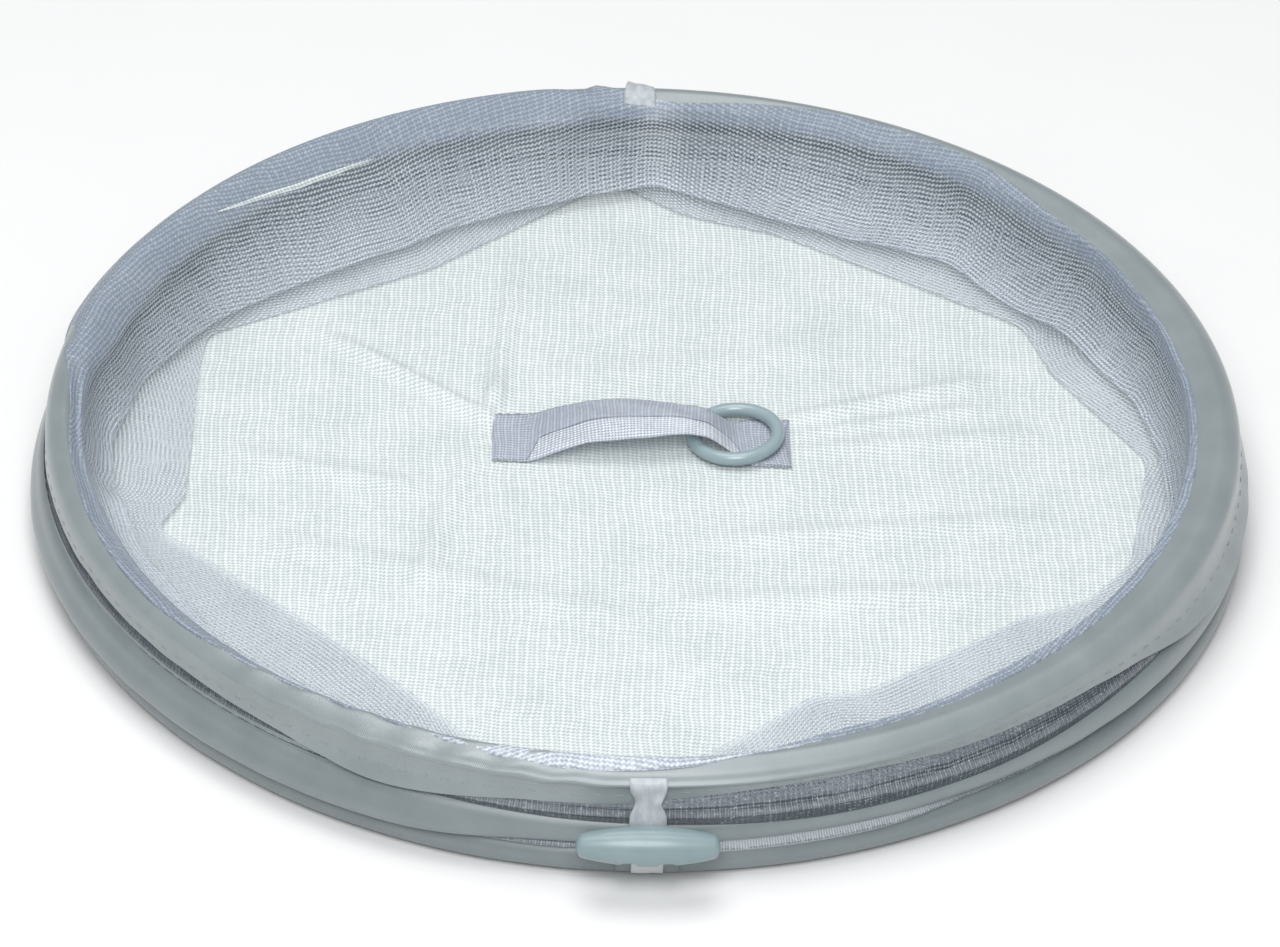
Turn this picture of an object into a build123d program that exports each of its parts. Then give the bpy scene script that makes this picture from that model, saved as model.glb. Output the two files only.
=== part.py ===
"""Round pop-up mesh basket, folded flat.

Millimetres, +Z up. The origin is the middle of the mesh base, on the surface that the basket lies on.
The front is at -Y. The pull strap runs along X.
"""
import os
from math import asin, cos, degrees, radians, sin

from build123d import *

os.makedirs("parts", exist_ok=True)

# Hoops: plastic tube bent round, closed by a steel plug, in a sleeve of folded polyester
hoop_radius = 219.0
sleeve_radius = 6.0
sleeve_wall = 1.0
tube_radius = 4.8
tube_bore_radius = 3.3
base_hoop_z = sleeve_radius
middle_hoop_z = 19.2
middle_fin = (221.3, 222.3, 28.0)  # inner radius, outer radius and top of the upstanding seam

# Top hoop: a thinner tube, a little smaller, so that its binding hangs inside the other two
top_hoop_radius = 215.5
top_hoop_z = 38.8
crest_radius = 5.0
crest_wall = 0.8
top_tube_radius = 4.0
top_tube_bore_radius = 2.8
flap_outer_radius = 220.5
flap_thickness = 1.0
flap_bottom_z = 27.0

joiner_clearance = 0.1
joiner_arc = 16.0  # degrees of hoop that each plug fills
thread_radius = 0.35
thread_gap = 0.05

# Mesh: the base is one layer, and each wall lies folded inwards once
base_panel_radius = 215.5
mesh_thickness = 0.8
wall_outer_radius = 212.4
lower_fold_radius = 164.5
upper_fold_radius = 180.0
fold_layer = 1.2

# Pull strap, sewn down at both ends, with the ring round its right end
strap_centre = (-0.5, 29.5)
strap_length = 112.0
strap_width = 30.0
strap_waist = 17.0
strap_thickness = 1.0
strap_rest_z = mesh_thickness + 0.3 + strap_thickness / 2
strap_arch_z = 13.0
strap_stitch_lines = (-43.0, 41.0)  # from the strap's middle
stitch_length = 2.2
stitch_pitch = 3.4
stitch_width = 0.6

ring_wire_radius = 2.6
ring_radius = 16.2
ring_bar_offset = 20.0  # the ring's left bar, from the strap's middle
ring_slide = 1.0  # how far the ring has slid towards the back, under the strap
ring_bar_z = 3.9
ring_far_bar_z = 5.9

# Closures, one in front and one behind: a ribbon from the rim and a toggle on a tape
ribbon_width = 12.7
ribbon_thickness = 1.0
toggle_length = 49.0
toggle_radius = 7.0
toggle_end_radius = 3.6
toggle_place = (233.7, 22.2)  # distance from the middle, and height
toggle_recess_radius = 5.8
tape_width = 22.0
tape_thickness = 1.0
tape_root = (225.8, 2.8)


def spoke_plane(angle):
    """The upright plane through the basket's axis, turned this many degrees from +X."""
    a = radians(angle)
    return Plane(origin=(0, 0, 0), x_dir=(cos(a), sin(a), 0), z_dir=(sin(a), -cos(a), 0))


# Hoop tubes and their plugs
hoops = (
    ("base_hoop", hoop_radius, base_hoop_z, tube_radius, tube_bore_radius, 150),
    ("middle_hoop", hoop_radius, middle_hoop_z, tube_radius, tube_bore_radius, 200),
    ("top_hoop", top_hoop_radius, top_hoop_z, top_tube_radius, top_tube_bore_radius, 60),
)
for label, radius, height, outer, bore, plug_angle in hoops:
    with BuildPart() as hoop_tube:
        with BuildSketch(Plane.XZ):
            with Locations((radius, height)):
                Circle(outer)
                Circle(bore, mode=Mode.SUBTRACT)
        revolve(axis=Axis.Z)
    hoop_tube.part.label = label
    export_step(hoop_tube.part, f"parts/{label}.step")

    with BuildPart() as joiner:
        with BuildSketch(spoke_plane(plug_angle)):
            with Locations((radius, height)):
                Circle(bore - joiner_clearance)
        revolve(axis=Axis.Z, revolution_arc=joiner_arc)
    joiner.part.label = f"{label}_joiner"
    export_step(joiner.part, f"parts/{label}_joiner.step")

# Sleeve of the base hoop
with BuildPart() as base_sleeve:
    with BuildSketch(Plane.XZ):
        with Locations((hoop_radius, base_hoop_z)):
            Circle(sleeve_radius)
            Circle(sleeve_radius - sleeve_wall, mode=Mode.SUBTRACT)
    revolve(axis=Axis.Z)
base_sleeve.part.label = "base_sleeve"
export_step(base_sleeve.part, "parts/base_sleeve.step")

# Sleeve of the middle hoop, with its seam standing up on the outer side
fin_inner, fin_outer, fin_top = middle_fin
with BuildPart() as middle_sleeve:
    with BuildSketch(Plane.XZ):
        with Locations((hoop_radius, middle_hoop_z)):
            Circle(sleeve_radius)
        with Locations(((fin_inner + fin_outer) / 2, (middle_hoop_z + fin_top) / 2)):
            Rectangle(fin_outer - fin_inner, fin_top - middle_hoop_z)
        with Locations((hoop_radius, middle_hoop_z)):
            Circle(sleeve_radius - sleeve_wall, mode=Mode.SUBTRACT)
    revolve(axis=Axis.Z)
middle_sleeve.part.label = "middle_sleeve"
export_step(middle_sleeve.part, "parts/middle_sleeve.step")

# Binding of the top hoop: a round crest with a flap that hangs down its outer side
with BuildPart() as top_binding:
    with BuildSketch(Plane.XZ):
        with Locations((top_hoop_radius, top_hoop_z)):
            Circle(crest_radius)
        with Locations((flap_outer_radius - flap_thickness / 2, (flap_bottom_z + top_hoop_z) / 2)):
            Rectangle(flap_thickness, top_hoop_z - flap_bottom_z)
        with Locations((top_hoop_radius, top_hoop_z)):
            Circle(crest_radius - crest_wall, mode=Mode.SUBTRACT)
    revolve(axis=Axis.Z)
top_binding.part.label = "top_binding"
export_step(top_binding.part, "parts/top_binding.step")

# Seam threads, each a ring laid on the outer face of its seam
threads = (
    ("middle_seam_thread", fin_outer, fin_top - 1.5),
    ("top_seam_thread", flap_outer_radius, flap_bottom_z + 2.5),
)
for label, face_radius, height in threads:
    with BuildPart() as thread:
        with BuildSketch(Plane.XZ):
            with Locations((face_radius + thread_gap + thread_radius, height)):
                Circle(thread_radius)
        revolve(axis=Axis.Z)
    thread.part.label = label
    export_step(thread.part, f"parts/{label}.step")

# Mesh base
with BuildPart() as base_panel:
    with BuildSketch():
        Circle(base_panel_radius)
    extrude(amount=mesh_thickness)
base_panel.part.label = "base_panel"
export_step(base_panel.part, "parts/base_panel.step")


def folded_wall(fold_radius, fold_z, lower_seam_z, upper_seam_z):
    """A wall of two layers that meet in a fold near the middle and part towards the hoops."""
    half = fold_layer
    outline = (
        (wall_outer_radius, lower_seam_z),
        (fold_radius + half, fold_z - half),
        (fold_radius, fold_z),
        (fold_radius + half, fold_z + half),
        (wall_outer_radius, upper_seam_z),
        (wall_outer_radius, upper_seam_z - fold_layer),
        (fold_radius + 3 * half, fold_z),
        (wall_outer_radius, lower_seam_z + fold_layer),
    )
    with BuildPart() as wall:
        with BuildSketch(Plane.XZ):
            with BuildLine():
                Polyline(*outline, close=True)
            make_face()
        revolve(axis=Axis.Z)
    return wall.part


lower_wall = folded_wall(lower_fold_radius, 2.4, 3.0, 12.8)
lower_wall.label = "lower_wall"
export_step(lower_wall, "parts/lower_wall.step")

upper_wall = folded_wall(upper_fold_radius, 9.4, 14.2, 31.0)
upper_wall.label = "upper_wall"
export_step(upper_wall, "parts/upper_wall.step")

# Pull strap: sewn flat at both ends, arched between, narrow where the ring goes round it
strap_x, strap_y = strap_centre
strap_side = (
    (-strap_length / 2, strap_rest_z),
    (-41.0, strap_rest_z),
    (-25.0, 10.0),
    (-6.0, strap_arch_z),
    (19.0, strap_arch_z),
    (27.5, 10.2),
    (37.0, strap_rest_z),
    (strap_length / 2, strap_rest_z),
)
strap_bends = (8.0, 14.0, 30.0, 8.0, 8.0, 5.0)
strap_half_outline = (
    (-strap_length / 2, strap_width / 2),
    (5.0, strap_width / 2),
    (13.0, strap_waist / 2),
    (35.0, strap_waist / 2),
    (41.0, strap_width / 2),
    (strap_length / 2, strap_width / 2),
)
with BuildPart() as pull_strap:
    with BuildSketch(Plane(origin=(strap_x, strap_y, 0), x_dir=(1, 0, 0), z_dir=(0, -1, 0))):
        with BuildLine():
            FilletPolyline(*strap_side, radius=list(strap_bends))
        trace(line_width=strap_thickness)
    extrude(amount=strap_width, both=True)
    with BuildSketch(Plane((strap_x, strap_y, 0))):
        with BuildLine():
            Polyline(*strap_half_outline, *[(x, -y) for x, y in reversed(strap_half_outline)], close=True)
        make_face()
    extrude(amount=2 * strap_arch_z, mode=Mode.INTERSECT)
pull_strap.part.label = "pull_strap"
export_step(pull_strap.part, "parts/pull_strap.step")

# The stitches that hold the strap down, one row across each end
stitches_per_row = int(strap_width / stitch_pitch)
with BuildPart() as strap_stitching:
    with BuildSketch(Plane.XY.offset(strap_rest_z + strap_thickness / 2 + thread_gap)):
        for line_x in strap_stitch_lines:
            with Locations((strap_x + line_x, strap_y)):
                with GridLocations(1, stitch_pitch, 1, stitches_per_row):
                    Rectangle(stitch_width, stitch_length)
    extrude(amount=stitch_width / 2)
strap_stitching.part.label = "strap_stitching"
export_step(strap_stitching.part, "parts/strap_stitching.step")

# Pull ring, tipped up a little where it lies on the strap's end
ring_tip = degrees(asin((ring_far_bar_z - ring_bar_z) / (2 * ring_radius)))
ring_plane = Plane(
    origin=(strap_x + ring_bar_offset, strap_y + ring_slide, ring_bar_z),
    x_dir=(cos(radians(ring_tip)), 0, sin(radians(ring_tip))),
    z_dir=(-sin(radians(ring_tip)), 0, cos(radians(ring_tip))),
)
with BuildPart() as pull_ring:
    with BuildSketch(Plane(origin=ring_plane.origin, x_dir=ring_plane.x_dir, z_dir=(0, -1, 0))):
        Circle(ring_wire_radius)
    ring_middle = ring_plane.from_local_coords((ring_radius, 0, 0))
    revolve(axis=Axis(ring_middle, ring_plane.z_dir))
pull_ring.part.label = "pull_ring"
export_step(pull_ring.part, "parts/pull_ring.step")

# Closures
toggle_out, toggle_z = toggle_place
root_out, root_z = tape_root
ribbon_inner_line = ((220.8, 39.5), (220.8, 34.0), (223.0, 29.0), (225.4, 25.0), (225.4, 15.0))
for side_name, side in (("front", -1), ("rear", 1)):
    # Ribbon that hangs from the rim, behind the toggle
    with BuildPart() as ribbon:
        with BuildSketch(Plane.YZ):
            with BuildLine():
                inner = [(side * out, z) for out, z in ribbon_inner_line]
                outer = [(side * (out + ribbon_thickness), z) for out, z in reversed(ribbon_inner_line)]
                Polyline(*inner, *outer, close=True)
            make_face()
        extrude(amount=ribbon_width / 2, both=True)
    ribbon.part.label = f"{side_name}_ribbon"
    export_step(ribbon.part, f"parts/{side_name}_ribbon.step")

    # Spindle-shaped toggle, with a recess below for its tape and a fine groove along its top
    toggle_centre = (0, side * toggle_out, toggle_z)
    with BuildPart() as toggle:
        with BuildSketch(Plane(origin=toggle_centre, x_dir=(1, 0, 0), z_dir=(0, -1, 0))):
            with BuildLine():
                Line((-toggle_length / 2, 0), (-toggle_length / 2, toggle_end_radius))
                ThreePointArc(
                    (-toggle_length / 2, toggle_end_radius),
                    (0, toggle_radius),
                    (toggle_length / 2, toggle_end_radius),
                )
                Line((toggle_length / 2, toggle_end_radius), (toggle_length / 2, 0))
                Line((toggle_length / 2, 0), (-toggle_length / 2, 0))
            make_face()
        revolve(axis=Axis(toggle_centre, (1, 0, 0)))
        fillet(toggle.edges().filter_by(GeomType.CIRCLE), radius=1.6)
        with BuildSketch(Plane(origin=toggle_centre, x_dir=(0, 1, 0), z_dir=(1, 0, 0))):
            Circle(toggle_radius + 1)
            Circle(toggle_recess_radius, mode=Mode.SUBTRACT)
            with Locations((0, toggle_radius)):
                Rectangle(4 * toggle_radius, 2 * toggle_radius, mode=Mode.SUBTRACT)
        extrude(amount=tape_width / 2 + 0.4, both=True, mode=Mode.SUBTRACT)
        with Locations((0, side * toggle_out, toggle_z + toggle_radius)):
            Box(0.6 * toggle_length, 0.8, 1.2, mode=Mode.SUBTRACT)
    toggle.part.label = f"{side_name}_toggle"
    export_step(toggle.part, f"parts/{side_name}_toggle.step")

    # Tape round the toggle's underside, down to the base sleeve
    with BuildPart() as tape:
        with BuildSketch(Plane(origin=toggle_centre, x_dir=(0, side, 0), z_dir=(side, 0, 0))):
            Circle(toggle_recess_radius + tape_thickness + 0.1)
            Circle(toggle_recess_radius + 0.1, mode=Mode.SUBTRACT)
            with Locations((0, toggle_radius - 1)):
                Rectangle(4 * toggle_radius, 2 * toggle_radius, mode=Mode.SUBTRACT)
            with BuildLine():
                tail_start = Vector(root_out - toggle_out, root_z - toggle_z).normalized() * 6.5
                Line(tail_start, (root_out - toggle_out, root_z - toggle_z))
            trace(line_width=tape_thickness)
        extrude(amount=tape_width / 2, both=True)
    tape.part.label = f"{side_name}_toggle_tape"
    export_step(tape.part, f"parts/{side_name}_toggle_tape.step")
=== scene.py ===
"""Round pop-up mesh basket, folded flat: the looks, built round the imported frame.

+Z is up and the front is at -Y. Numbers below are millimetres unless they say otherwise; Blender's own
scene is in metres.
"""
from math import cos, pi, radians, sin, tan

import bpy
import numpy as np
from mathutils import Euler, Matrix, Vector


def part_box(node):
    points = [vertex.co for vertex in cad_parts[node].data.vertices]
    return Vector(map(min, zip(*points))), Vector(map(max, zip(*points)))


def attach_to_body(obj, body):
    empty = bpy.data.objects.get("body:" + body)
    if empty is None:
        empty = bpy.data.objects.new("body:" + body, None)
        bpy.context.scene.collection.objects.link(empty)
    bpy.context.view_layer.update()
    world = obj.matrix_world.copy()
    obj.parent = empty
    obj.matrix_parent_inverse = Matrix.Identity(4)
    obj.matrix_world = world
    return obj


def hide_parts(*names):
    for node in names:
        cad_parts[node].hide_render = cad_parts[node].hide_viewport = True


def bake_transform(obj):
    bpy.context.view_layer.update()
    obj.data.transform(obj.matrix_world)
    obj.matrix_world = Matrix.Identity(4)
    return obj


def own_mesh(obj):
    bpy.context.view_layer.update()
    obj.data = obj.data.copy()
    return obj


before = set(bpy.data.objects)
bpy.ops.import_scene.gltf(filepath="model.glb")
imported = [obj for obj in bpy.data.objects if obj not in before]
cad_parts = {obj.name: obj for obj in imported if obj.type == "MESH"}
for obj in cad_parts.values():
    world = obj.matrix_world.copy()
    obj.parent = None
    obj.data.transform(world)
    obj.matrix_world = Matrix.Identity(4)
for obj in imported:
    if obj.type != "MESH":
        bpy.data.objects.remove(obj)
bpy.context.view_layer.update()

MM = 0.001
SPOKES = 384
SECTORS = 16  # each folded wall is cut into these
TURN = 2 * pi
theta = np.arange(SPOKES) * TURN / SPOKES  # the direction of each column of a ring, called a spoke

# ------------ places, all from the frame


def box_mm(node):
    """A CAD node's lowest and highest corners, in millimetres."""
    low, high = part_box(node)
    return np.array(low) / MM, np.array(high) / MM


def hoop_line(node):
    """Radius and height of a hoop's centre line, from its tube."""
    low, high = box_mm(node)
    return high[0] - (high[2] - low[2]) / 2, (high[2] + low[2]) / 2


base_radius, base_z = hoop_line("base_hoop")
middle_radius, middle_z = hoop_line("middle_hoop")
top_radius, _ = hoop_line("top_hoop")
sleeve_radius = box_mm("base_sleeve")[1][2] / 2
seam_radius = box_mm("lower_wall")[1][0]
crest_z = box_mm("top_binding")[1][2]
rim_radius = box_mm("top_binding")[1][0]
panel_radius = box_mm("base_panel")[1][0]
panel_top = box_mm("base_panel")[1][2]

# ------------ numbers and curves


def wobble(seed, amplitude, low=2, high=7):
    """A smooth unevenness round the ring, the same each run."""
    rng = np.random.default_rng(seed)
    total = np.zeros_like(theta)
    for k in range(low, high + 1):
        total += rng.uniform(-1, 1) * np.cos(k * theta + rng.uniform(0, TURN)) / k ** 0.5
    return amplitude * total / max(np.abs(total).max(), 1e-9)


def window(centre, half_width, soft=12.0):
    """1 within half_width degrees of centre, fading to 0 over soft degrees."""
    away = np.abs((np.degrees(theta) - centre + 180) % 360 - 180)
    x = np.clip((half_width + soft - away) / soft, 0, 1)
    return x * x * (3 - 2 * x)


def eased(values, weights, ends="wrap"):
    """Values smoothed by an odd number of weights: round the ring, or along a line with ends="edge"."""
    padded = np.pad(values, len(weights) // 2, mode=ends)
    return np.convolve(padded, np.array(weights) / np.sum(weights), mode="valid")


def polygon_radius(corners):
    """Distance along each spoke to a closed polygon with (degrees, millimetres) corners, which are eased."""
    angles = np.radians([a for a, _ in corners])
    points = np.array([(r * cos(a), r * sin(a)) for a, (_, r) in zip(angles, corners)])
    radius = np.zeros_like(theta)
    for k, t in enumerate(theta):
        i = np.searchsorted(angles, t, side="right") - 1
        p, q = points[i % len(points)], points[(i + 1) % len(points)]
        along = q - p
        radius[k] = (p[0] * along[1] - p[1] * along[0]) / (cos(t) * along[1] - sin(t) * along[0])
    return eased(radius, [1, 2, 3, 2, 1])


def round_table(pairs):
    """Values given at a few degrees round the ring, joined up and eased."""
    value = np.interp(np.degrees(theta), *zip(*pairs), period=360)
    return eased(value, np.hanning(13)[1:-1])


def profile(*pairs):
    """Control points as arrays of (radius, height) over the spokes, from numbers or arrays."""
    return [np.stack(np.broadcast_arrays(r, z, theta)[:2], axis=-1).astype(float) for r, z in pairs]


def through(points, per_span):
    """A smooth line (Catmull-Rom) through points, which may each be an array over the spokes."""
    p = [2 * points[0] - points[1], *points, 2 * points[-1] - points[-2]]
    rows = []
    for i in range(1, len(p) - 2):
        a, b, c, d = p[i - 1:i + 3]
        square, cube = 2 * a - 5 * b + 4 * c - d, 3 * b - a - 3 * c + d
        for s in np.arange(per_span) / per_span:
            rows.append(0.5 * (2 * b + (c - a) * s + square * s ** 2 + cube * s ** 3))
    rows.append(points[-1])
    return np.array(rows)


def lengths(rows):
    """Distance along each column from its first row, in the units of rows."""
    steps = np.linalg.norm(np.diff(rows, axis=0), axis=-1)
    return np.concatenate([np.zeros_like(steps[:1]), np.cumsum(steps, axis=0)])


def ring_points(rows, angles=theta):
    """(radius, height) rows to x, y, z rows."""
    return np.stack([rows[..., 0] * np.cos(angles), rows[..., 0] * np.sin(angles), rows[..., 1]], axis=-1)


def uv_grid(along, up):
    """Cloth coordinates for a whole grid, from a row, a column or a grid for each of its two directions."""
    return np.stack(np.broadcast_arrays(along, up), axis=-1)


def round_hoop(radius):
    """Millimetres along a circle, at every spoke and back at the first."""
    return np.linspace(0, TURN * radius, SPOKES + 1)


# ------------ meshes


def ring_normals(points):
    """Outward directions of a grid whose last column joins its first."""
    across = np.roll(points, -1, 1) - np.roll(points, 1, 1)
    normals = np.cross(across, np.gradient(points, axis=0))
    return normals / np.maximum(np.linalg.norm(normals, axis=-1, keepdims=True), 1e-12)


def add_object(name, data):
    made = bpy.data.objects.new(name, data)
    bpy.context.scene.collection.objects.link(made)
    return made


def new_piece(name, vertices, faces, material):
    """A piece in the scene from vertices in millimetres, smooth all over."""
    mesh = bpy.data.meshes.new(name)
    mesh.from_pydata((np.asarray(vertices) * MM).tolist(), [], faces)
    mesh.polygons.foreach_set("use_smooth", np.ones(len(mesh.polygons), bool))
    mesh.update()
    mesh.materials.append(material)
    return add_object(name, mesh)


def grid_faces(rows, columns, closed=True, capped=True):
    """A grid's faces; closed joins its last column to its first, and capped closes that tube's two ends."""
    i, j = np.meshgrid(np.arange(rows - 1), np.arange(columns if closed else columns - 1), indexing="ij")
    here, above, k = i * columns, (i + 1) * columns, (j + 1) % columns
    faces = np.stack([here + j, here + k, above + k, above + j], axis=-1).reshape(-1, 4).tolist()
    if capped:
        faces.append(list(range(columns))[::-1])
        faces.append(list(range((rows - 1) * columns, rows * columns)))
    return faces


def grid_piece(name, points, uv, material, closed=False, normals=None, capped=False):
    """A sheet from a grid of points and of cloth coordinates, uv, both in millimetres.

    Where it is closed, uv has one column more than the points, for the far side of the last span.
    """
    corner_uv = np.stack([uv[:-1, :-1], uv[:-1, 1:], uv[1:, 1:], uv[1:, :-1]], axis=2).reshape(-1, 2)
    if capped:
        corner_uv = np.concatenate([corner_uv, uv[0, :-1][::-1], uv[-1, :-1]])
    faces = grid_faces(*points.shape[:2], closed, capped)
    piece = new_piece(name, points.reshape(-1, 3), faces, material)
    layer = piece.data.uv_layers.new(name="UVMap")
    layer.data.foreach_set("uv", (corner_uv * MM).astype(np.float32).ravel())
    if normals is not None:
        piece.data.normals_split_custom_set_from_vertices(normals.reshape(-1, 3).tolist())
    return piece


def merged_piece(name, parts, material):
    """Many small solids, each (vertices in millimetres, faces), as one piece."""
    vertices, faces = [], []
    for part_vertices, part_faces in parts:
        start = len(vertices)
        vertices.extend(part_vertices)
        faces.extend([tuple(start + v for v in face) for face in part_faces])
    return new_piece(name, vertices, faces, material)


def stitch(middle, along, up, length, radius):
    """One stitch, a small closed capsule whose ends dive into the cloth, for merged_piece."""
    along, up = along / np.linalg.norm(along), up / np.linalg.norm(up)
    side = np.cross(along, up)
    rings, sides = 7, 6
    vertices = []
    for a in np.linspace(-1, 1, rings):
        girth = radius * max(0.15, (1 - a ** 4)) ** 0.5
        centre = middle + along * a * length / 2 - up * radius * 0.9 * a * a
        for b in np.arange(sides) * TURN / sides:
            vertices.append(centre + girth * (side * cos(b) + up * sin(b)))
    return vertices, grid_faces(rings, sides)


# ------------ materials


class Shader:
    """A material's node tree, with short calls for the nodes that these materials share."""

    def __init__(self, name):
        self.material = bpy.data.materials.new(name)
        self.material.use_nodes = True
        self.tree = self.material.node_tree
        self.bsdf = self.tree.nodes["Principled BSDF"]

    def feed(self, socket, value):
        """Gives a socket its value, which may be another node's output."""
        if isinstance(value, bpy.types.NodeSocket):
            self.tree.links.new(value, socket)
        else:
            socket.default_value = value

    def node(self, kind, inputs=None, **settings):
        made = self.tree.nodes.new(kind)
        for key, value in settings.items():
            setattr(made, key, value)
        for key, value in (inputs or {}).items():
            self.feed(made.inputs[key], value)
        return made

    def surface(self, **values):
        """Feeds the surface's own sockets, with _ for a space in a socket's name."""
        for key, value in values.items():
            self.feed(self.bsdf.inputs[key.replace("_", " ")], value)

    def math(self, operation, *values):
        return self.node("ShaderNodeMath", dict(enumerate(values)), operation=operation).outputs[0]

    def plus(self, a, b):
        return self.math("ADD", a, b)

    def minus(self, a, b):
        return self.math("SUBTRACT", a, b)

    def times(self, a, b):
        return self.math("MULTIPLY", a, b)

    def least(self, a, b):
        return self.math("MINIMUM", a, b)

    def spread(self, value, low, high):
        """Maps 0..1 to low..high."""
        return self.plus(self.times(value, high - low), low)

    def ramp(self, value, low_mm, high_mm):
        """Rises smoothly from 0 to 1 between two places."""
        reach = {"Value": value, "From Min": low_mm * MM, "From Max": high_mm * MM}
        return self.node("ShaderNodeMapRange", reach, interpolation_type="SMOOTHSTEP").outputs[0]

    def place(self):
        """Where the surface is, in object space."""
        return self.node("ShaderNodeTexCoord").outputs["Object"]

    def split(self, vector):
        return self.node("ShaderNodeSeparateXYZ", {0: vector}).outputs

    def uv(self, along_mm, up_mm):
        """The two cloth coordinates, counted in cells of this size."""
        u, v, _ = self.split(self.node("ShaderNodeUVMap", uv_map="UVMap").outputs[0])
        return self.times(u, 1 / (along_mm * MM)), self.times(v, 1 / (up_mm * MM))

    def noise(self, size_mm, detail, stretch=(1, 1, 1)):
        """Soft noise in object space, from 0 to 1, with blotches of about this size."""
        scale = [s / (size_mm * MM) for s in stretch]
        scaled = self.node("ShaderNodeMapping", {"Vector": self.place(), "Scale": scale}).outputs[0]
        texture = {"Vector": scaled, "Scale": 1.0, "Detail": detail}
        return self.node("ShaderNodeTexNoise", texture).outputs["Fac"]

    def blend_colours(self, factor, first, second):
        mix = {"Factor": factor, "A": (*first, 1), "B": (*second, 1)}
        return self.node("ShaderNodeMix", mix, data_type="RGBA").outputs["Result"]

    def bump(self, height, distance_mm, strength):
        relief = {"Height": height, "Distance": distance_mm * MM, "Strength": strength}
        self.surface(Normal=self.node("ShaderNodeBump", relief).outputs[0])


def knit(name, dark, light, cell=(1.76, 1.82), open_share=0.75, narrow=1.6, painted_glint=0.0, dense_above=None,
         edge_shade_and_tone=0.0, row_share=0.6, side_seam=None):
    """Open warp knit: a net of wavy rows and wales with a hole in each cell, uneven, with painted glints.

    From the height dense_above the cloth lies doubled: it shows less through, and painted shade makes it
    darker, but not at the front, where painted light makes it lighter. The edge tone paints shade over the
    first and last few millimetres of a wall's height where it is below 0, and makes them lighter where it is
    above 0.
    row_share is how much the rows count against the wales. side_seam, in millimetres round the ring, is
    where the cloth's two ends overlap and look lighter.
    """
    s = Shader(name)
    u, v = s.uv(*cell)
    pull = s.spread(s.noise(22, 2), -1.1, 1.1)
    u = s.plus(u, pull)
    v = s.plus(v, pull)
    wave = s.times(s.math("SINE", s.times(u, TURN)), 0.12)
    row = s.math("COSINE", s.times(s.plus(v, wave), TURN))
    wale = s.math("COSINE", s.times(u, TURN))
    wide_rib = s.math("COSINE", s.times(u, pi))
    net = s.plus(s.times(row, row_share), s.times(wale, 1 - row_share))
    hole = s.math("POWER", s.spread(net, 0.5, 0.0), narrow)
    cover = s.minus(1.0, s.times(hole, open_share))
    cover = s.minus(cover, s.times(s.noise(14, 3), 0.08))
    tone = s.plus(s.spread(net, 0.5, 0.8), s.times(wide_rib, 0.1))
    tone = s.plus(tone, s.spread(s.noise(3, 2), -0.25, 0.25))
    tone = s.plus(tone, s.spread(s.noise(30, 2), -0.22, 0.22))
    # Painted highlight: bright specks of light on the threads, painted into the colour
    if painted_glint:
        painted_sparkle = s.math("POWER", s.noise(1.1, 1), 6.0)
        tone = s.plus(tone, s.times(painted_sparkle, painted_glint))
    if side_seam:
        from_seam = s.math("ABSOLUTE", s.minus(s.times(u, cell[0]), side_seam))
        near = s.minus(1.0, s.least(s.times(from_seam, 1 / SEAM_REACH), 1.0))
        tone = s.plus(tone, s.times(near, s.spread(s.noise(9, 2), 0.0, 1.1)))
    # Along a wall's first and last few millimetres: painted shade where the edge tone is below 0, a lighter
    # tone where it is above 0
    if edge_shade_and_tone:
        height_mm = s.times(v, cell[1])
        from_edge = s.least(height_mm, s.minus(WALL_HEIGHT, height_mm))
        hem = s.minus(1.0, s.least(s.times(from_edge, 1 / HEM_HEIGHT), 1.0))
        tone = s.plus(tone, s.times(hem, edge_shade_and_tone))
    if dense_above:
        _, y, z = s.split(s.place())
        doubled = s.ramp(z, dense_above, dense_above + DOUBLING)
        front = s.ramp(y, *LIT_FRONT)
        filled = s.times(s.minus(1.0, cover), 0.75)
        cover = s.plus(cover, s.times(filled, doubled))
        # Painted shade on the doubled cloth away from the front, and painted light on the front, both in the
        # colour
        shade = s.times(doubled, s.minus(1.0, front))
        excess = s.minus(tone, 0.33)
        tone = s.minus(tone, s.times(excess, s.times(shade, 0.5)))
        tone = s.minus(tone, s.times(shade, 0.36))
        tone = s.plus(tone, s.times(front, 0.08))
    colour = s.blend_colours(tone, dark, light)
    s.surface(Base_Color=colour, Roughness=0.6, Specular_IOR_Level=0.3, Alpha=cover)
    s.bump(s.plus(s.times(net, 0.8), s.noise(6, 2)), 0.25, 0.5)
    return s.material


def woven(name, dark, light, pitch=0.42, roughness=(0.45, 0.6), sheen=0.06, blotch=18, coat=0.0):
    """Plain-woven polyester with a soft shine."""
    s = Shader(name)
    u, v = s.uv(pitch, pitch)
    warp, weft = (s.math("SINE", s.times(thread, pi)) for thread in (u, v))
    over = s.times(warp, weft)
    cloudy = s.noise(blotch, 4)
    tone = s.plus(s.spread(cloudy, -0.1, 1.1), s.times(over, 0.12))
    s.surface(
        Base_Color=s.blend_colours(tone, dark, light), Roughness=s.spread(cloudy, *roughness),
        Specular_IOR_Level=0.75, Coat_Weight=coat, Coat_Roughness=0.36, Sheen_Weight=sheen,
        Sheen_Roughness=0.4,
    )
    s.bump(s.plus(s.times(over, 0.25), s.noise(5, 3)), 0.25, 0.5)
    return s.material


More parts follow.
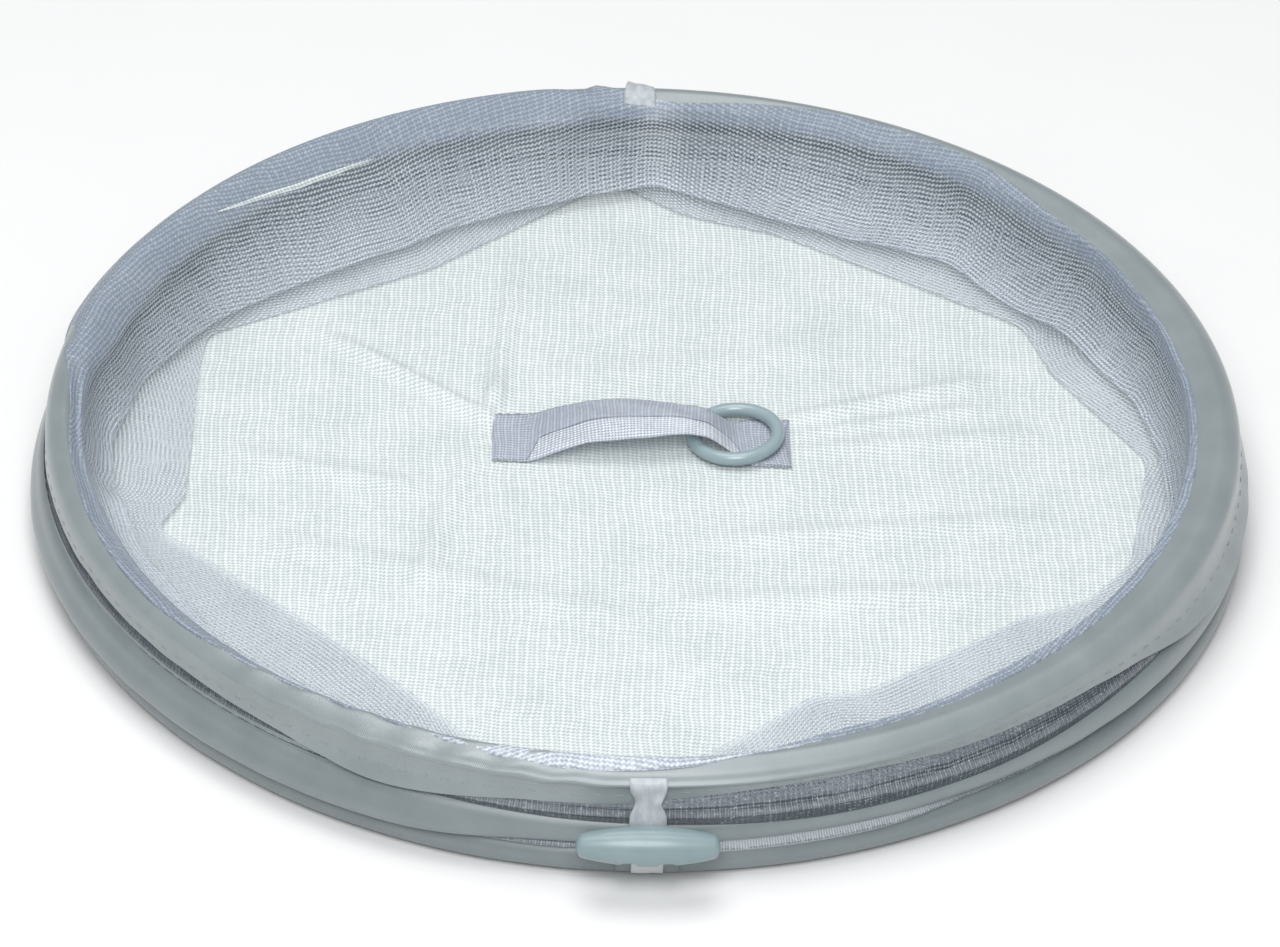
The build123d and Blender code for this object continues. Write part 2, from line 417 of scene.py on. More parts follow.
def satin(name, dark, light):
    """Satin ribbon: long floats across its length that catch the light."""
    s = Shader(name)
    u, _ = s.uv(0.35, 3.0)
    float_line = s.math("SINE", s.times(u, TURN))
    streak = s.noise(2.5, 3, stretch=(1, 1, 0.25))
    colour = s.blend_colours(s.spread(streak, 0, 1), dark, light)
    s.surface(Base_Color=colour, Roughness=s.spread(streak, 0.22, 0.38), Sheen_Weight=0.3)
    s.bump(s.plus(s.times(float_line, 0.2), streak), 0.2, 0.5)
    return s.material


def plastic(name, dark, light, roughness=(0.18, 0.3), coat=0.3):
    """Moulded plastic with faint flow marks and handling wear."""
    s = Shader(name)
    cloudy = s.noise(9, 4)
    colour = s.blend_colours(cloudy, dark, light)
    shine = s.spread(s.noise(2, 4), *roughness)
    s.surface(Base_Color=colour, Roughness=shine, Coat_Weight=coat, Coat_Roughness=0.12)
    s.bump(s.plus(cloudy, s.times(s.noise(0.6, 2), 0.15)), 0.12, 0.35)
    return s.material


def steel(name):
    s = Shader(name)
    grain = s.noise(0.5, 4, stretch=(1, 1, 0.1))
    colour = s.blend_colours(grain, (0.42, 0.43, 0.44), (0.62, 0.63, 0.64))
    s.surface(Base_Color=colour, Metallic=1.0, Roughness=s.spread(grain, 0.28, 0.45))
    s.bump(grain, 0.05, 0.4)
    return s.material


LIT_FRONT = (-196, -210)  # Y from where painted light makes the front of the wall lighter, and where it is lightest
DOUBLING = 6.0  # millimetres of height over which the doubled mesh takes over
WALL_HEIGHT = 113.0  # millimetres of mesh between two hoops
HEM_HEIGHT = 9.0  # how far the painted edge shade, and the lighter edge tone, reach from each edge of a wall
SEAM_REACH = 13.0  # millimetres to either side of the side seam that look lighter
WALL_KNIT = {"open_share": 0.92, "narrow": 0.5, "painted_glint": 3.0, "row_share": 0.72}
# From dense_above up, painted shade darkens this cloth, but not at the front, where painted light lightens
# it
wall_mesh = knit("wall_mesh", (0.262, 0.309, 0.38), (0.75, 0.805, 0.875), dense_above=33,
                 side_seam=326, **WALL_KNIT)
lower_mesh = knit("lower_wall_mesh", (0.39, 0.45, 0.52), (0.79, 0.84, 0.88), **WALL_KNIT)
BAND_KNIT = {"cell": (0.9, 0.95), "open_share": 0.62, "narrow": 0.7}
lower_band_mesh = knit("lower_band_mesh", (0.07, 0.095, 0.12), (0.66, 0.71, 0.76), edge_shade_and_tone=0.65, painted_glint=5.0,
                       **BAND_KNIT)
# Painted shade: the very dark colour, which this band's two edges take, stands for the shade in the gap
# under the binding's flap
upper_band_mesh = knit("upper_band_mesh", (0.03, 0.043, 0.06), (0.50, 0.55, 0.60), edge_shade_and_tone=-0.75, painted_glint=3.0,
                       **BAND_KNIT)
# Its dark colour, where the knit's holes are, is partly the knit's own pattern and partly painted shade of
# the floor seen through them
base_mesh = knit("base_mesh", (0.49, 0.57, 0.58), (0.90, 0.93, 0.93), open_share=0.3)
strap_mesh = knit("strap_mesh", (0.42, 0.46, 0.54), (0.78, 0.82, 0.88), cell=(1.3, 1.5), open_share=0.7,
                  painted_glint=3.0)
hem_mesh = knit("strap_hem_mesh", (0.28, 0.315, 0.39), (0.60, 0.64, 0.72), cell=(1.3, 1.5), open_share=0.35,
                painted_glint=1.0)
binding_cloth = woven("binding_fabric", (0.19, 0.229, 0.241), (0.26, 0.298, 0.308), roughness=(0.30, 0.42),
                      coat=0.7)
SLEEVE_WEAVE = {"roughness": (0.34, 0.44), "coat": 0.5}
middle_cloth = woven("middle_sleeve_fabric", (0.15, 0.185, 0.197), (0.21, 0.246, 0.256), **SLEEVE_WEAVE)
# Painted shade: the same weave as the middle sleeve, made darker because the base sleeve faces down and out,
# away from the light
base_cloth = woven("base_sleeve_fabric", (0.14, 0.172, 0.184), (0.195, 0.228, 0.237), **SLEEVE_WEAVE)
tape_cloth = woven("tape", (0.15, 0.18, 0.19), (0.25, 0.28, 0.29), pitch=0.6, sheen=0.2)
tape_core_cloth = woven("tape_core", (0.50, 0.53, 0.53), (0.78, 0.81, 0.81), pitch=0.5, sheen=0.3)
ribbon_cloth = satin("ribbon_satin", (0.25, 0.285, 0.315), (0.64, 0.67, 0.70))
thread_pale = woven("thread_pale", (0.21, 0.25, 0.26), (0.30, 0.34, 0.35), pitch=0.2)
thread_strap = woven("thread_strap", (0.30, 0.34, 0.39), (0.46, 0.50, 0.55), pitch=0.2)
ring_plastic = plastic("ring_plastic", (0.26, 0.345, 0.375), (0.32, 0.405, 0.43))
toggle_plastic = plastic("toggle_plastic", (0.19, 0.265, 0.283), (0.255, 0.33, 0.348), roughness=(0.3, 0.4),
                         coat=0.15)
tube_plastic = plastic("hoop_tube", (0.74, 0.77, 0.77), (0.82, 0.85, 0.85), roughness=(0.4, 0.55), coat=0.0)
plug_steel = steel("plug_steel")


def finish_cad(node, material):
    """Gives a CAD node that stays in view its finished material."""
    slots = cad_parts[node].material_slots
    for i in range(len(slots)):
        slots[i].link = "OBJECT"
        slots[i].material = material


for hoop in ("base_hoop", "middle_hoop", "top_hoop"):
    finish_cad(hoop, tube_plastic)
    finish_cad(f"{hoop}_joiner", plug_steel)
finish_cad("pull_ring", ring_plastic)


def attach(piece, body, slot, *nodes):
    """Says which body a piece rides on, and the CAD nodes it stands for, which it hides; slot is not used.
    """
    if nodes:
        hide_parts(*nodes)
    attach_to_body(piece, body)


# ------------ sleeves and binding

# How far the middle sleeve's slack cloth hangs out below its hoop, in millimetres at degrees round the ring
MIDDLE_SAG = [
    (0, 1), (100, 1), (150, 3), (178, 4.5), (190, 5.5), (245, 5.5), (252, 4.5), (259, 1), (268, 0),
    (300, 0), (325, 1.5), (345, 2)
]
SAG_DIRECTION = radians(-45)
SAG_SPREAD = radians(30)
SEAM_DIRECTION = 62  # degrees up from the outside, where a sleeve's cloth starts and ends
SLEEVE_ROWS = 56


def round_sleeve(name, radius, height, girth, fin_top, seed, material, sag=0.0):
    """A cloth tube round a hoop. fin_top, where given, is how high its seam stands at each spoke."""
    slack_r = wobble(seed, 0.3)
    slack_z = wobble(seed + 1, 0.2)
    crumple = wobble(seed + 2, 0.1, 20, 60)
    rows = []
    for a in np.radians(np.linspace(SEAM_DIRECTION, SEAM_DIRECTION - 360, SLEEVE_ROWS)):
        away = (a - SAG_DIRECTION + pi) % TURN - pi
        out = girth + crumple + sag * np.exp(-((away / SAG_SPREAD) ** 2))
        rows.append(np.stack([radius + slack_r + out * cos(a), height + slack_z + out * sin(a)], -1))
    if fin_top is not None:
        foot = rows[0]
        lean = wobble(seed + 3, 0.3)
        rise = np.maximum(fin_top - foot[:, 1], 0.4)
        fin = [
            np.stack([foot[:, 0] + share * (0.2 + lean), foot[:, 1] + share * rise], -1)
            for share in (1.0, 0.75, 0.5, 0.25)
        ]
        rows = fin + rows
    rows = np.array(rows)
    uv = uv_grid(round_hoop(radius), lengths(rows).mean(axis=1)[:, None])
    piece = grid_piece(name, ring_points(rows), uv, material, closed=True)
    return piece, rows


base_sleeve, base_rows = round_sleeve(
    "base_sleeve_cloth", base_radius, base_z + 0.1, sleeve_radius, None, 11, base_cloth
)
left_seam = window(205, 50, 25)
middle_fin_top = middle_z + sleeve_radius + 0.3 + 2.4 * left_seam
middle_sleeve, middle_rows = round_sleeve(
    "middle_sleeve_cloth", middle_radius, middle_z, sleeve_radius, middle_fin_top, 21, middle_cloth,
    round_table(MIDDLE_SAG),
)

# The binding's inner lip (radius), and how high its stitched flap ends, at degrees round the ring
LIP = [
    (0, 203.5), (40, 204), (62, 208), (90, 206.5), (120, 208), (180, 209), (245, 209), (255, 210.8),
    (272, 210.8), (280, 209), (288, 206), (310, 203.5)
]
FLAP = [
    (0, 27), (40, 28), (90, 28), (150, 29), (180, 31), (202, 32), (225, 31.5), (235, 29), (245, 25),
    (252, 26.5), (258, 29), (268, 30.5), (273, 33), (280, 35), (292, 35.5), (298, 34), (314, 33), (322, 29),
    (330, 24), (338, 21), (348, 23)
]
# Where the flap has to hang outside the middle sleeve: radius at height
DRAPE = [(18, 226.8), (22, 226.4), (25, 225.0), (27, 223.2), (29, 221.8), (34, 221.1), (44, 220.9)]


def draped(height):
    return np.interp(height, [z for z, _ in DRAPE], [r for _, r in DRAPE])


lip = round_table(LIP) + wobble(33, 0.4)
flap_end = round_table(FLAP) + wobble(31, 0.3, 6, 14)
crest_high = crest_z + 0.25 + wobble(32, 0.2)
narrow_lip = np.clip((lip - 203) / 6, 0, 1)
lip_z = crest_high - 2.6 - 3.2 * narrow_lip
crest_r = rim_radius - 6.2
binding_rows = through(
    profile(
        (lip + 1.5, lip_z - 5.0),
        (lip, lip_z),
        (0.5 * lip + 0.5 * crest_r, crest_high - 0.9 - 0.6 * narrow_lip),
        (crest_r, crest_high),
        (rim_radius - 1.5, crest_high - 2.5),
        (draped(crest_high - 6.0), crest_high - 6.0),
        (draped((crest_high - 6.0 + flap_end) / 2), (crest_high - 6.0 + flap_end) / 2),
        (draped(flap_end), flap_end),
    ),
    6,
)
front_left = window(246, 14, 12)
row_share = np.linspace(0, 1, len(binding_rows))[:, None]
slant = theta * 80 + row_share * 11
wrinkle = 0.5 * front_left * np.sin(pi * row_share) ** 2
binding_rows[..., 0] += wrinkle * (1 + np.sin(slant))
binding_rows[..., 1] += wrinkle * (1 + np.cos(slant * 0.8 + 1))
tuck = window(268, 30, 25) * np.exp(-(((row_share - 0.66 - 0.05 * np.sin(3 * theta)) / 0.035) ** 2))
binding_rows[..., 0] += 0.9 * tuck
puckers = wobble(34, 0.25, 24, 90)
binding_rows[..., 0] += puckers * np.clip(row_share * 3 - 1.8, 0, 1)
binding = grid_piece(
    "top_binding_cloth", ring_points(binding_rows),
    uv_grid(round_hoop(top_radius), lengths(binding_rows).mean(axis=1)[:, None]), binding_cloth, closed=True,
)


def seam_row(name, rows, row, material):
    """Stitches along one row of a ring-shaped cloth, standing just proud of it."""
    around = ring_points(rows)
    out = ring_normals(around)
    count = int(TURN * rows[row, :, 0].mean() / STITCH_PITCH)
    parts = []
    for k in range(count):
        j = k * SPOKES / count
        a, b, share = int(j), (int(j) + 1) % SPOKES, j % 1
        middle = around[row, a] * (1 - share) + around[row, b] * share
        up = out[row, a]
        along = around[row, b] - around[row, a]
        parts.append(stitch(middle + up * 0.1, along, up, STITCH_LENGTH, THREAD_RADIUS))
    return merged_piece(name, parts, material)


STITCH_PITCH = 7.6
STITCH_LENGTH = 2.6
THREAD_RADIUS = 0.28
BINDING_SEAM_ROW = -6  # counted from the flap's end
MIDDLE_SEAM_ROW = 2
binding_stitches = seam_row("top_seam_stitches", binding_rows, BINDING_SEAM_ROW, thread_pale)
middle_stitches = seam_row("middle_seam_stitches", middle_rows, MIDDLE_SEAM_ROW, thread_pale)

# ------------ folded walls

# How far in each wall's fold reaches, as (degrees, millimetres) corners of a loose polygon
LOWER_FOLD = [
    (6, 193), (26, 177), (36, 186), (47, 177), (72, 182), (85, 188), (93, 212), (96, 202), (120, 167),
    (150, 195), (158, 184), (172, 172), (184, 171), (190, 183), (218, 149), (240, 155), (250, 169),
    (262, 172), (274, 169), (285, 152), (295, 141), (303, 147), (331, 160), (337, 176), (346, 186)
]
UPPER_FOLD = [
    (5, 197), (15, 196), (30, 191), (37, 187), (50, 190), (60, 184), (74, 185), (88, 201), (96, 195),
    (112, 184), (126, 178), (140, 186), (150, 194), (163, 199), (176, 200), (188, 197), (196, 196),
    (203, 198), (222, 198), (242, 197), (250, 199), (272, 196), (290, 197), (310, 199), (340, 194),
    (355, 197)
]
# Where the upper wall's mesh ends on the binding (radius); past the crest it lies right over the rim
MESH_EDGE = [
    (0, 204.5), (20, 204), (38, 205), (52, 211.5), (67, 213), (80, 210), (87, 208), (92, 212), (98, 222.6),
    (168, 222.6), (177, 213.5), (182, 211), (190, 212.5), (200, 214), (215, 216), (230, 214.5),
    (242, 213.5), (250, 215), (258, 217.8), (265, 218.6), (273, 217.2), (280, 212.8), (287, 208.2)
]
lower_fold = polygon_radius(LOWER_FOLD)
upper_fold = polygon_radius(UPPER_FOLD)
mesh_edge = round_table(MESH_EDGE)
in_front = window(240, 50, 30)
over_rim = np.clip((mesh_edge - 217) / 5, 0, 1) * (1 - window(262, 25))

HALF_GAP = 0.45  # half the space between a fold's two layers at its edge
LAYER_ROWS = 16
NOSE_ANGLES = (-0.9, 0.0, 0.9)


def layer(*controls):
    """One layer of a fold: rows along a cubic curve with four (radius, height) control points."""
    p0, p1, p2, p3 = profile(*controls)
    s = np.linspace(0, 1, LAYER_ROWS)[:, None, None]
    return (1 - s) ** 3 * p0 + 3 * s * (1 - s) ** 2 * p1 + 3 * s * s * (1 - s) * p2 + s ** 3 * p3


def fold_nose(radius, height):
    """The rows that round off a fold, between its lower and its upper layer."""
    return [
        profile((radius - HALF_GAP * cos(a), height + HALF_GAP * sin(a)))[0] for a in NOSE_ANGLES
    ]


def binding_top(radius):
    """Height of the binding's upper face at a radius, for every spoke."""
    inside = np.clip((radius - lip) / (crest_r - lip), 0, 1)
    outside = np.clip((radius - crest_r) / (rim_radius + 0.4 - crest_r), 0, 1)
    return lip_z + (crest_high - lip_z) * np.sin(inside * pi / 2) - 5.5 * (1 - np.sqrt(1 - outside ** 2))


lower_reach = seam_radius - lower_fold
lower_z = 2.2 + 1.2 * in_front
lower_rows = np.concatenate([
    layer((seam_radius, 4.2), (seam_radius - 12, 3.0 + 0.6 * in_front),
          (lower_fold + 0.35 * lower_reach, lower_z - 0.4), (lower_fold, lower_z - HALF_GAP)),
    fold_nose(lower_fold, lower_z),
    layer((lower_fold, lower_z + HALF_GAP), (lower_fold + 0.45 * lower_reach, lower_z + 0.9),
          (seam_radius - 9, 8.0 + in_front), (seam_radius, 13.0)),
])
upper_reach = seam_radius - upper_fold
puffed = window(222, 26, 14)  # where the upper wall stands up under the binding
upper_z = 7.5 + 5.0 * in_front + 14.5 * puffed
edge_top = binding_top(mesh_edge) * (1 - over_rim) + (crest_high - 6.5) * over_rim
knee_r = lip - 1.8 - 3.2 * over_rim
knee_z = lip_z + 0.4 - 1.4 * over_rim
upper_rows = np.concatenate([
    layer((seam_radius, 21.0), (seam_radius - 5, 14.0 + 2 * in_front + 8 * puffed),
          (upper_fold + 0.4 * upper_reach, upper_z), (upper_fold, upper_z - HALF_GAP)),
    fold_nose(upper_fold, upper_z),
    through(
        profile(
            (upper_fold, upper_z + HALF_GAP),
            (0.55 * upper_fold + 0.45 * knee_r, upper_z + 4.5 + 8 * over_rim - 1.5 * puffed),
            (0.2 * upper_fold + 0.8 * knee_r, 0.45 * upper_z + 0.55 * knee_z + 6 * over_rim),
            (knee_r, knee_z),
            (0.5 * (knee_r + mesh_edge), np.maximum(binding_top(0.5 * (knee_r + mesh_edge)) + 0.9, knee_z)
             + 1.6 * over_rim),
            (mesh_edge, edge_top + 0.7),
            (mesh_edge + 0.7, edge_top - 0.6 - 2 * over_rim),
        ),
        5,
    ),
])


def soften(rows, seed, amount):
    """Radial ripples and slack that all layers of a wall share, so that they never cross."""
    depth = np.sin(pi * np.clip((seam_radius - rows[..., 0]) / (seam_radius - 150), 0, 1))
    ripple = wobble(seed, 1.0, 9, 40) * 0.6 + wobble(seed + 1, 1.0, 3, 9) * 0.5
    rows[..., 1] += amount * depth * np.clip(ripple, -0.6, 1)
    return rows


lower_rows = soften(lower_rows, 41, 0.8)
upper_rows = soften(upper_rows, 43, 2.0)


def gather_at_hoop(piece):
    """Gives a piece its own copy of its mesh."""
    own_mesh(piece)


def folded_wall(name, rows, body, material, nodes):
    """The folded wall as sectors that share one surface.

    Each sector hangs on the body, in place of the CAD nodes it stands for, with its own copy of the mesh.
    """
    points = ring_points(rows)
    normals = ring_normals(points)
    up = lengths(rows)
    uv = uv_grid(round_hoop(seam_radius), np.concatenate([up, up[:, :1]], axis=1))
    per_sector = SPOKES // SECTORS
    for k in range(SECTORS):
        columns = np.arange(k * per_sector, (k + 1) * per_sector + 1)
        wrapped = columns % SPOKES
        piece = grid_piece(
            f"{name}_{k + 1:02d}", points[:, wrapped], uv[:, columns], material, normals=normals[:, wrapped]
        )
        attach(piece, body, "wall_mesh", *nodes)
        gather_at_hoop(piece)


folded_wall(
    "lower_wall_fold", lower_rows, "base", lower_mesh, ["lower_wall"],
)
folded_wall(
    "upper_wall_fold", upper_rows, "middle", wall_mesh, ["upper_wall"],
)

# A long thin pale lens laid on the upper wall at the back left: radius at degrees round the ring
PALE_LENS = [(121.7, 201.7), (127, 201.4), (132, 202.0), (137, 203.6), (143.2, 206.0)]
PALE_LENS_HALF_WIDTH = 0.95


def make_pale_lens():
    """A long thin lens of cloth that lies just on the upper wall."""
    share = np.linspace(0, 1, 33)
    angle = PALE_LENS[0][0] + share * (PALE_LENS[-1][0] - PALE_LENS[0][0])
    middle = np.interp(angle, *zip(*PALE_LENS))
    half = PALE_LENS_HALF_WIDTH * np.sqrt(np.sin(pi * share)) + 0.05
    upper_layer = upper_rows[LAYER_ROWS + len(NOSE_ANGLES):]
    points = []
    for across in np.linspace(-1, 1, 5):
        radius = middle + half * across * 0.6
        height = [
            np.interp(r, upper_layer[:, j, 0], upper_layer[:, j, 1])
            for r, j in zip(radius, np.rint(angle / 360 * SPOKES).astype(int))
        ]
        rows = np.stack([radius, np.array(height) + 0.45 + 0.5 * (1 - across ** 2)], axis=-1)
        points.append(ring_points(rows, np.radians(angle)))
    points = np.array(points)
    piece = grid_piece("upper_wall_pale_lens", points, uv_grid(share * 80, lengths(points)), base_mesh)
    attach(piece, "middle", "wall_mesh")
    gather_at_hoop(piece)


make_pale_lens()


HEM_SHARE = 0.3  # share of a band at each end that doesn't stretch
BAND_CLOTH = (0, 3, 107, 113)  # cloth up to a band's start, its stretching part's two ends, and its end


def wall_band(name, low, bulge, high, stretch_z, material):
    """The strip of wall between two hoops, as a slack loop.

    low and high are (radius, height) over the spokes. What lies between the two stretch_z heights gets most
    of the wall's cloth coordinates.
    """
    low, high = profile(low, high)
    even, close = np.linspace(0, 1, 13), np.linspace(HEM_SHARE, 1 - HEM_SHARE, 25)
    share = np.unique(np.concatenate([even, close]))[:, None]
    from_low, from_high = np.minimum(share / HEM_SHARE, 1), np.minimum((1 - share) / HEM_SHARE, 1)
    between = np.clip((share - HEM_SHARE) / (1 - 2 * HEM_SHARE), 0, 1)
    height = (
        low[:, 1] * (1 - from_low) + high[:, 1] * (1 - from_high)
        + stretch_z[0] * np.minimum(from_low, 1 - between) + stretch_z[1] * np.minimum(from_high, between)
    )
    radius = low[:, 0] + (high[:, 0] - low[:, 0]) * share + bulge * np.sin(pi * share)
    rows = np.stack([radius, height], axis=-1)
    drop = np.interp(share, (0, HEM_SHARE, 1 - HEM_SHARE, 1), BAND_CLOTH)
    piece = grid_piece(
        name, ring_points(rows), uv_grid(round_hoop(seam_radius), drop), material, closed=True
    )
    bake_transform(piece)


# How far the upper wall's slack hangs down over the middle sleeve, in millimetres at degrees round the ring
BAND_DROP = [
    (0, 0), (235, 0), (250, 0.8), (262, 2.0), (272, 2.6), (286, 4.0), (305, 3.5), (322, 1), (335, 0)
]
band_drop = round_table(BAND_DROP)
light_gap = window(282, 8, 12)
white_slit = window(259, 3, 4)
wall_band(
    "lower_wall_band",
    (221.2 + 2.0 * light_gap, 11.6 - 1.6 * light_gap),
    1.2 + 1.0 * light_gap + 2.6 * white_slit,
    (221.2 + 2.0 * light_gap, 13.6 + 1.4 * light_gap),
    (12.2, 13.0),
    lower_band_mesh,
)
wall_band(
    "upper_wall_band",
    (222.0 + 0.65 * band_drop, 25.7 - band_drop),
    0.6 + 0.45 * band_drop + wobble(52, 0.15, 5, 20) * band_drop,
    (219.9, np.clip(flap_end + 1.5, 28.4, 36.6)),
    (26.2, 28.0),
    upper_band_mesh,
)

# ------------ base panel

strap_low, strap_high = box_mm("pull_strap")
strap_mid = (strap_low + strap_high) / 2

# Creases and soft folds of the base: from, to, height, half width, in millimetres
CREASES = [
    ((-46, 182), (-56, 60), 2.4, 3.5),
    ((-56, 60), (-80, -50), 2.0, 4),
    ((-138, 112), (-57, 42), 3.6, 4),
    ((-125, 96), (-75, 55), -1.6, 4),
    ((52, 44), (128, 72), 1.9, 4),
    ((60, 36), (120, 52), 1.3, 4),
    ((58, 26), (150, 38), 1.3, 5),
    ((40, -30), (140, -18), 1.2, 5),
    ((66, 160), (98, 122), 2.4, 4),
    ((80, 165), (112, 128), 1.9, 3.5),
    ((-120, -40), (-20, -75), 1.4, 6),
    ((20, -70), (120, -62), 1.4, 6),
    ((-150, 20), (-95, 2), 1.4, 5),
    ((-30, 70), (60, 92), 0.9, 8),
]


def crease_height(x, y, start, end, height, half_width):
    start, end = np.array(start, float), np.array(end, float)
    along = end - start
    span = np.hypot(*along)
    s = ((x - start[0]) * along[0] + (y - start[1]) * along[1]) / span
    off = ((x - start[0]) * along[1] - (y - start[1]) * along[0]) / span
    past = np.maximum(np.maximum(-s, s - span), 0)
    return height * np.exp(-((off / half_width) ** 2) - (past / 12) ** 2)


def base_height(x, y):
    """Slack in the base, flat again where the folded walls rest on it."""
    r = np.hypot(x, y)
    fade = np.clip((165 - r) / 30, 0, 1)
    swell = 0.5 * (1 + np.sin(x / 47 + 1) * np.cos(y / 39))
    under_strap = np.exp(-((x / 64) ** 6) - ((y - strap_mid[1]) / 20) ** 4)
    slack = sum(crease_height(x, y, *crease) for crease in CREASES) + 0.35 * swell
    return panel_top - 0.1 + fade * slack * (1 - under_strap)


BASE_RINGS = 86
PINHOLE = 0.01  # radius of the base's first ring, so that its faces still have an area


def make_base():
    """The base as rings of cloth from its middle to the hoop."""
    rings = np.concatenate([[PINHOLE], np.linspace(2.5, panel_radius, BASE_RINGS)])
    x = rings[:, None] * np.cos(theta)
    y = rings[:, None] * np.sin(theta)
    points = np.stack([x, y, base_height(x, y)], axis=-1)
    flat = np.stack([x + 1.5 * np.sin(y / 35), y + 2.0 * np.sin(x / 50) + 0.05 * x], axis=-1)
    uv = np.concatenate([flat, flat[:, :1]], axis=1)
    piece = grid_piece("base_mesh_panel", points, uv, base_mesh, closed=True)
    attach(piece, "base", "base_mesh", "base_panel")


make_base()

# ------------ pull strap

# The strap's side view, from its left end: flat ends, and an arch that drops steeply through the ring
STRAP_LINE = [
    (0, 1.7), (12, 1.7), (16, 2.1), (24, 5.8), (36, 10.2), (52, 12.6), (68, 13.1), (76, 12.7), (82, 11.2),
    (87, 7.2), (92, 3.0), (96, 1.9), (112, 1.8)
]
STRAP_HALF_WIDTH = [
    (0, 14.6), (14, 14.9), (30, 14.4), (60, 13.4), (70, 10.6), (80, 8.6), (90, 9.6), (98, 14.2), (112, 14.9)
]
STRAP_SLANT = -1.2  # degrees that the strap runs off the X axis


strap_length = strap_high[0] - strap_low[0]


def strap_line(share):
    x = strap_low[0] + share * strap_length
    return x, np.interp(x - strap_low[0], *zip(*STRAP_LINE))


# The doubled hem's front edge, as a share of the half width: right across at the sewn ends, and only the
# back half between them
HEM_EDGE = [(0, -1.0), (14, -0.98), (18, -0.1), (60, -0.05), (90, -0.1), (97, -0.98), (112, -1.0)]


CLOTH_HALF = 0.3  # half the strap's thickness


def make_strap(name, material, front_edge, lift_mm):
    """The strap's cloth, from front_edge (a table along its length) to its back edge."""
    count, across = 89, 17
    share = np.linspace(0, 1, count)
    x, z = strap_line(share)
    z = eased(z, [1, 3, 5, 3, 1], ends="edge")
    local = x - strap_low[0]
    half = np.interp(local, *zip(*STRAP_HALF_WIDTH))
    edge = np.interp(local, *zip(*front_edge))
    side = edge[:, None] + (1 - edge[:, None]) * np.linspace(0, 1, across)
    along = local[:, None]
    droop = np.sin(pi * np.clip((along - 12) / 84, 0, 1))
    fray = 0.5 * np.sin(along * 2.9) * (np.abs(side) > 0.9) * ((along < 10) | (along > 102))
    grid_x = x[:, None] + 0.6 * side * np.sin(along / 9) + 1.2 * side ** 2 * (along > 100)
    slant = (along - strap_length / 2) * tan(radians(STRAP_SLANT))
    grid_y = strap_mid[1] + half[:, None] * side + 1.5 * np.sin(along / 24) * droop + fray + slant
    tilt = -2.2 * droop * side
    curl = -1.6 * droop * side ** 2 + 0.35 * np.sin(side * 5 + along / 5)
    ripple = 0.25 * np.sin(along / 2.1 + side * 2) * np.clip(along - 66, 0, 10) / 10
    lift = np.clip(droop * 1.2, 0, 1)
    grid_z = z[:, None] + lift * (tilt * 0.5 + curl + ripple) + lift_mm
    top = np.stack([grid_x, grid_y, grid_z + CLOTH_HALF], axis=-1)
    under = np.stack([grid_x, grid_y, grid_z - CLOTH_HALF], axis=-1)[:, ::-1]
    loop = np.concatenate([top, under], axis=1)
    girth = np.linspace(0, 60, loop.shape[1] + 1)
    return grid_piece(name, loop, uv_grid(along, girth), material, closed=True, capped=True)


strap = make_strap("pull_strap_cloth", strap_mesh, [(0, -1), (112, -1)], 0.0)
attach(strap, "base", "strap_mesh", "pull_strap")
HEM_LIFT = 0.65
hem = make_strap("pull_strap_hem", hem_mesh, HEM_EDGE, HEM_LIFT)
attach(hem, "base", "strap_mesh")


Y_AXIS = np.array([0, 1.0, 0])
Z_AXIS = np.array([0, 0, 1.0])


STRAP_STITCHES = 9  # in each row
STRAP_STITCH_PITCH = 3.1


def strap_seams():
    """The stitches across the strap's two sewn ends."""
    parts = []
    stitch_low, stitch_high = box_mm("strap_stitching")
    for row_x in (stitch_low[0] + 0.3, stitch_high[0] - 0.3):
        for k in range(STRAP_STITCHES):
            y = strap_mid[1] + (k - STRAP_STITCHES // 2) * STRAP_STITCH_PITCH
            height = np.interp(row_x, *strap_line(np.linspace(0, 1, 60))) + 1.1
            parts.append(stitch(np.array([row_x, y, height]), Y_AXIS, Z_AXIS, 2.5, THREAD_RADIUS))
    return merged_piece("strap_seam_stitches", parts, thread_strap)


attach(strap_seams(), "base", "thread", "strap_stitching")

# ------------ closures

toggle_low, toggle_high = box_mm("front_toggle")
toggle_middle = (toggle_low + toggle_high) / 2
toggle_radius = (toggle_high[1] - toggle_low[1]) / 2
toggle_half = (toggle_high[0] - toggle_low[0]) / 2


SLOT_PLACE = 6.4  # from the toggle's middle
SLOT_REACH = 2.2  # half a slot's width
SLOT_DEPTH = 0.34  # share of the spindle's radius
MOULD_LINE_DEPTH = 0.22


